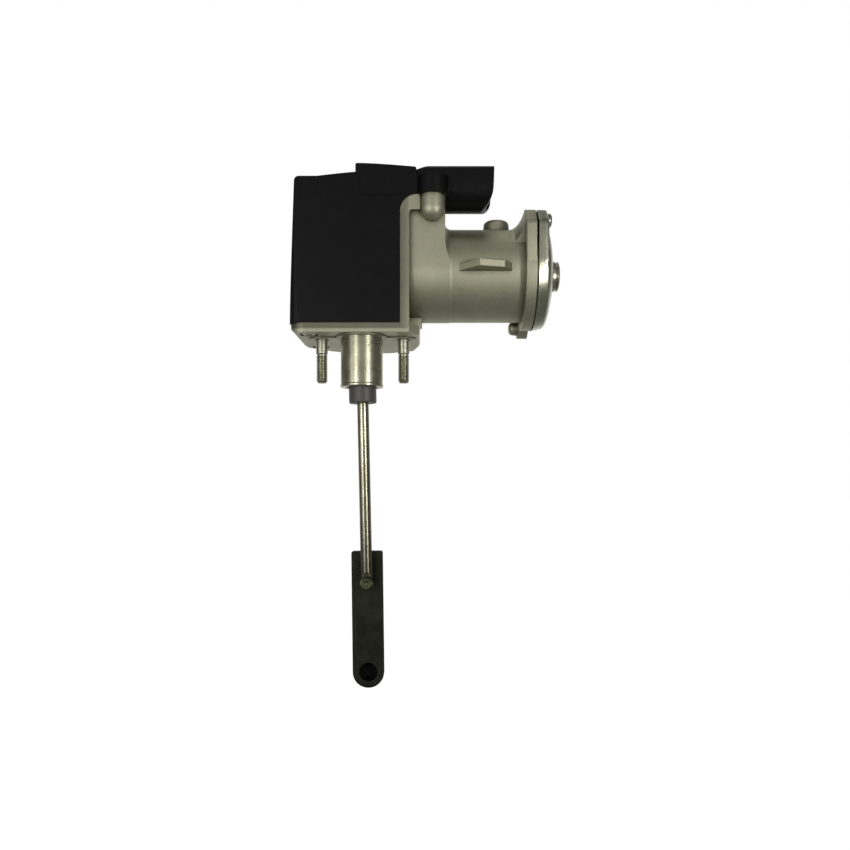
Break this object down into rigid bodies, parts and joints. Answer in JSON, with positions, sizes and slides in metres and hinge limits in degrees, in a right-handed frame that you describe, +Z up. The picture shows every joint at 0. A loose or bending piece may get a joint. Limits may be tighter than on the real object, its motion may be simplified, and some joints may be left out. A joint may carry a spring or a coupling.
{
  "type": "electronic wastegate actuator",
  "caption": "Electric actuator: a geared motor in a cast housing with a stepped plastic cover and a plug socket slides a rod, which ends in a riveted link plate.",
  "frame": {"origin": "on the machined mounting face, at the axis of the rod's guide bush", "axes": "+Z up away from the mounting face, the rod points along -Z; +X along the motor towards its end cap; +Y to the back of the gearbox"},
  "size_m": [0.1159, 0.0621, 0.2228],
  "materials": {
    "cast_aluminium": "die-cast, slightly grained, matt",
    "turned_steel": "turned, fine rings",
    "spring_steel": "dark, satin",
    "ball_steel": "ground",
    "sleeve_polymer": "matt, grey",
    "stud_steel": "zinc plated",
    "cover_plastic": "black glass-filled nylon, fine grain",
    "seal_rubber": "matt",
    "screw_steel": "zinc plated",
    "contact_brass": "tin over brass",
    "board_laminate": "green solder mask",
    "chip_plastic": "matt",
    "lead_metal": "tinned",
    "can_steel": "drawn, zinc plated",
    "ferrite": "ground ferrite",
    "sintered_bronze": "sintered, matt",
    "holder_plastic": "phenolic, matt",
    "carbon": "pressed carbon",
    "cap_metal": "pressed, satin",
    "bracket_steel": "stamped",
    "shaft_steel": "ground",
    "lamination_steel": "stacked sheet",
    "copper_wire": "enamelled copper wire",
    "commutator_copper": "turned copper",
    "pinion_brass": "hobbed",
    "gear_polymer": "natural polyamide",
    "arm_steel": "stamped, tumbled",
    "rod_steel": "drawn stainless bar",
    "magnet_carrier": "moulded",
    "nickel_magnet": "nickel plated",
    "rivet_steel": "dark, oiled",
    "link_steel": "black oxide"
  },
  "bodies": {
    "frame": {"housing": "cast_aluminium", "guide_bush": "turned_steel", "retaining_ring": "spring_steel", "studs": "stud_steel", "cover": "cover_plastic", "cover_seal": "seal_rubber", "cover_screws": "screw_steel", "base_screws": "screw_steel", "terminal_pins": "contact_brass", "circuit_board": "board_laminate", "hall_sensor": "chip_plastic", "sensor_leads": "lead_metal", "motor_can": "can_steel", "motor_magnets": "ferrite", "front_bearing": "sintered_bronze", "rear_bearing": "sintered_bronze", "brush_holder": "holder_plastic", "brushes": "carbon", "end_cap_gasket": "seal_rubber", "end_cap": "cap_metal", "end_cap_screws": "screw_steel", "gear_bracket": "bracket_steel", "bracket_screws": "screw_steel", "idler_shaft": "shaft_steel", "output_bushes": "sintered_bronze"},
    "rotor": {"motor_shaft": "shaft_steel", "armature_core": "lamination_steel", "armature_windings": "copper_wire", "commutator": "commutator_copper", "motor_pinion": "pinion_brass"},
    "idler": {"idler_gear": "gear_polymer"},
    "output": {"output_gear": "gear_polymer", "output_shaft": "shaft_steel", "crank_arm": "arm_steel", "crank_pin": "shaft_steel"},
    "guide": {"guide_ball": "ball_steel", "guide_sleeve": "sleeve_polymer"},
    "rod": {"push_rod": "rod_steel", "yoke": "arm_steel", "magnet_holder": "magnet_carrier", "position_magnets": "nickel_magnet", "link_pin": "rivet_steel"},
    "link": {"link_plate": "link_steel", "link_cap": "cover_plastic"}
  },
  "joints": [
    {"name": "rotor_spin", "type": "hinge", "parent": "frame", "child": "rotor", "pos_m": [0, 0.011, 0.029], "axis": [1, 0, 0], "range_deg": [-330, 330]},
    {"name": "idler_spin", "type": "hinge", "parent": "frame", "child": "idler", "pos_m": [0, 0.02646, 0.03109], "axis": [1, 0, 0], "range_deg": [-100, 100]},
    {"name": "output_turn", "type": "hinge", "parent": "frame", "child": "output", "pos_m": [0, 0.011, 0.045], "axis": [1, 0, 0], "range_deg": [-30, 30]},
    {"name": "guide_swivel", "type": "hinge", "parent": "frame", "child": "guide", "pos_m": [0, 0, -0.008], "axis": [0, 1, 0], "range_deg": [-0.15, 2.65]},
    {"name": "rod_slide", "type": "slide", "parent": "guide", "child": "rod", "axis": [0.0218, 0, -0.9998], "range_m": [-0.0056, 0.0056]},
    {"name": "link_swing", "type": "hinge", "parent": "rod", "child": "link", "pos_m": [0.00212, 0.0043, -0.10528], "axis": [0, 1, 0], "range_deg": [-30, 30]}
  ],
  "couplings": [
    {"joint": "idler_spin", "follows": "rotor_spin", "ratio": -0.3},
    {"joint": "output_turn", "follows": "rotor_spin", "ratio": 0.09},
    {"joint": "rod_slide", "follows": "rotor_spin", "m_per_rad": 0.0009603}
  ]
}
